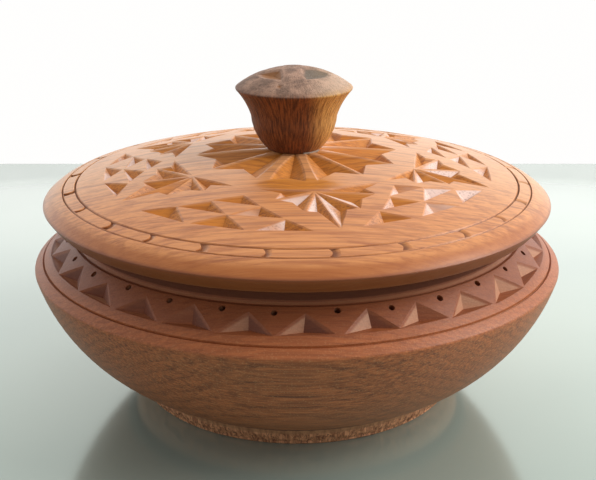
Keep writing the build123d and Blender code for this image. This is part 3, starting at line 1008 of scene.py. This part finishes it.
# Below its sharp edge the lid is darkened: a painted shade under the overhang.
painted_underside_shade = 1 - height.between(54.9, 55.5)
golden = lid_wood.mix(fibres.between(0.36, 0.70) * 0.7, srgb(210, 130, 38), srgb(146, 78, 24))
flake_place = (x * x) * (TO_MM**2 / 11.5**2) + ((y * TO_MM + 30.4) ** 2) / 3.9**2
facing = facing_right(lid_wood)
outer = chipped * span.between(35**2, 38**2)
patches = lid_wood.noise(lid_wood.vector(x * TO_MM, y * TO_MM, 4.0), 0.075, 1.0).between(0.44, 0.56)
# Faces that look right are made pale: partly torn end grain and partly painted light from the window at the
# right.
torn_end_grain_and_painted_light = facing.between(0.12, 0.26) * (0.18 + 0.72 * patches)
speckle = lid_wood.noise(lid_wood.vector(x * (0.5 * TO_MM), y * TO_MM, height), 2.7, 2.0).between(0.52, 0.68)
base = lid_wood.stained(base, (bleached_and_painted_sheen * 0.35, (238, 190, 138)), (streaks * 0.35, (136, 76, 58)),
                        (flecks.between(0.55, 0.68) * 0.2, (132, 72, 48)), (edge * 0.7, (172, 94, 36)),
                        (arris * 0.6, (112, 50, 34)), (painted_underside_shade * 0.7, (112, 58, 28)),
                        (chipped * 0.85, golden), ((1 - flake_place.between(0.6, 1.1)) * 0.85, golden),
                        (torn_end_grain_and_painted_light * outer, (238, 212, 202)),
                        ((facing * facing).between(0.04, 0.10) * outer * speckle * 0.5, (110, 60, 40)),
                        (darker_ring_grooves * 0.6, (96, 50, 32)))
relief = fibres * 0.5 + flecks * 0.5 - pores * 0.5
lid_wood.finish(lid, base, 0.36 + flecks * 0.16 + chipped * 0.18, soft_edges(lid_wood, relief, 0.05, 0.18),
                Specular_IOR_Level=0.4, Coat_Weight=0.22 - chipped * 0.18, Coat_Roughness=0.3)

# %% [markdown]
# The body is darker and redder than the lid, with a dull, dry surface. Its colour changes with
# height, and these changes are painted light and shade: a painted light makes it ruddy at the arris, a
# painted shade under the lid darkens the shoulder and the neck still more, a painted highlight is a
# light line where the neck meets the shoulder, and a painted shadow is a dark line at the seam above
# the foot. The teeth get painted light, pale on the faces that look right, and painted shade, dark on
# those that look left, so facing drives that.

# %% Bowl wood
bowl_wood = recipe_for("bowl_wood")
bowl_board = Board(bowl_wood, (0, 0, 1))
late, fibres, clouds = bowl_board.late((-12, 96), 1.9, 7), bowl_board.fibres(), bowl_board.clouds()
x, y, z = own_place(bowl_wood)
height = z * TO_MM
fine = bowl_wood.noise(bowl_wood.vector(x * 14, y * TO_MM, height), 2.0, 3.0, 0.7)
grit = bowl_wood.noise(bowl_wood.vector(x * 700, y * 700, height), 3.2, 2.0)
base = bowl_wood.mix(late * 0.3 + fine.between(0.38, 0.64) * 0.6, srgb(190, 112, 64), srgb(92, 46, 28))
facing = facing_right(bowl_wood)
radius = (x * x + y * y) ** 0.5 * TO_MM
below = ARRIS_Z + (BOWL_R - radius) * SLOPE - height
chipped = below.between(0.3, 0.9) * height.between(ARRIS_Z, ARRIS_Z + 1.0) * radius.between(63.0, 63.6)
# The neck under the lid's edge gets a painted shade, and its gloss is taken away there too.
painted_neck_shade = height.between(SHOULDER_Z + 0.1, SHOULDER_Z + 0.6)
# A painted highlight makes a light line where the neck meets the shoulder.
painted_lip_highlight = height.within(46.7, 46.9, 47.2, 47.4) * (1 - radius.between(SHOULDER_R + 0.3, SHOULDER_R + 0.6))
# A painted shadow darkens the bowl's lowest millimetre at the seam over the foot.
painted_seam_shadow = 1 - height.between(6.8, 7.5)
base = bowl_wood.stained(base, (clouds.between(0.35, 0.7) * 0.3, (152, 98, 62)),
                         (fibres.between(0.50, 0.66) * 0.4, (84, 48, 30)),
                         (grit.between(0.54, 0.68) * 0.35, (206, 160, 112)),
                         # A painted light makes the wood ruddy from the arris up, and a painted shade under
                         # the lid darkens the shoulder above it.
                         (height.between(36.5, 39.5) * 0.5, (178, 96, 50)),
                         (height.between(40.5, 43.0) * 0.5, (112, 54, 32)),
                         # The teeth's faces that look right get a painted highlight, and those that look left
                         # a painted shade.
                         (facing.between(0.05, 0.25) * chipped * (0.25 + 0.3 * grit), (224, 176, 142)),
                         ((1 - facing.between(-0.25, 0.0)) * chipped * 0.65, (104, 50, 30)),
                         (painted_neck_shade * 0.7, (76, 34, 20)), (painted_lip_highlight * 0.45, (206, 144, 106)),
                         (painted_seam_shadow * 0.85, (46, 42, 38)))
relief = fine * 1.0 + grit * 0.8 + fibres * 0.5
bowl_wood.finish(bowl, base, 0.42 + grit * 0.2 + painted_neck_shade * 0.3, soft_edges(bowl_wood, relief, 0.08, 0.2),
                 Specular_IOR_Level=0.4, Coat_Weight=0.10 - painted_neck_shade * 0.10, Coat_Roughness=0.3)

# %% [markdown]
# The foot is the palest wood. Its torn lower band is speckled with dark, open fibres, so its board
# is turned to show end grain. The smoother band above it is darker, and at its top a painted shadow
# lies under the bowl's overhang.

# %% Foot wood
foot_wood = recipe_for("foot_wood")
foot_board = Board(foot_wood, (0, 90, 0))
fibres, flecks = foot_board.fibres(), foot_board.flecks()
height = own_place(foot_wood)[2] * TO_MM
low_band = 1 - height.between(3.7, 4.3)
base = foot_wood.mix(fibres.between(0.35, 0.65), srgb(236, 170, 124), srgb(166, 108, 74))
base = foot_wood.stained(base, (flecks.between(0.5, 0.62) * low_band * 0.65, (84, 50, 34)),
                         ((1 - low_band) * 0.6, (150, 108, 74)),
                         # Near black at the top of the foot: a painted shadow under the bowl's overhang at
                         # the seam.
                         (height.between(5.1, 5.5) * 0.85, (46, 44, 40)))
relief = fibres * 1.0 + flecks * (0.4 + low_band * 1.6)
foot_wood.finish(foot, base, 0.55 + flecks * 0.3, soft_edges(foot_wood, relief, 0.14, 0.2))

# %% [markdown]
# The knob's grain stands upright, so its board is turned by a quarter. Dark and light stripes run
# up the stem, and its right side is painted lighter, a painted light from the window at the right. The
# crown is end grain that has gone grey, and its right half is painted paler by the same painted light.

# %% Knob wood
knob_wood = recipe_for("knob_wood")
knob_board = Board(knob_wood, (0, 90, 0))
fibres, flecks, pores = knob_board.fibres(), knob_board.flecks(), knob_board.pores()
x, y, z = own_place(knob_wood)
height = z * TO_MM
aside = x - KNOB_ASIDE * mm  # measured from the knob's own axis
under_crown = KNOB_TOP - (aside * aside + y * y) * (TO_MM**2 / (2 * CROWN_BALL)) - height
crown = 1 - under_crown.between(0.3, 0.9)
leaf_depth = under_crown.between(0.25, 0.7) * height.between(rim[1] + 1.6, rim[1] + 2.2)
stripes = knob_wood.noise(knob_wood.vector(y.atan2(aside) * 7.0, z * 60, 0.5), 4.5, 4.0, 0.7)
# The knob's right side is painted in lighter stripes: a painted light from the window at the right.
painted_right_light = x.between(0.002, 0.009)
dark = knob_wood.mix(stripes.between(0.38, 0.64), srgb(140, 80, 44), srgb(80, 42, 26))
light = knob_wood.mix(stripes.between(0.40, 0.66), srgb(226, 172, 96), srgb(156, 104, 50))
blotches = knob_wood.noise(knob_board.place, 0.25, 4.0, 0.7).between(0.36, 0.64)
checks = knob_wood.noise(knob_board.place, 1.3, 3.0, 0.7).between(0.56, 0.66)
grey = knob_wood.stained(srgb(186, 148, 126), (blotches, (136, 108, 92)), (checks * 0.6, (82, 62, 52)),
                         # The crown's right half is paler: painted light from the window at the right.
                         (x.between(0.000, 0.012) * 0.45, (226, 196, 168)))
leaf = knob_wood.mix(x.between(-0.002, 0.002), srgb(160, 108, 62), srgb(108, 98, 84))
base = knob_wood.stained(dark, (painted_right_light * 0.85, light), (pores * 0.3, (60, 34, 24)), (crown, grey),
                         (leaf_depth * 0.85, leaf))
relief = stripes * 1.2 + fibres * 0.4 + flecks * (0.3 + crown * 1.0)
knob_wood.finish(knob, base, 0.5 + crown * 0.2, soft_edges(knob_wood, relief, 0.16, 0.3),
                 Specular_IOR_Level=0.35)

# %% [markdown]
# Dried glue is grey and cloudy, with a dull shine, so one fine noise drives its colour and its
# roughness together.

# %% Glue finish
dried_glue = recipe_for("dried_glue")
murk = dried_glue.noise(dried_glue.node("ShaderNodeTexCoord", out="Object"), 900.0, 3.0)
glue_colour = dried_glue.mix(murk, srgb(112, 96, 84), srgb(168, 150, 134))
dried_glue.finish(glue, glue_colour, 0.35 + murk * 0.3)
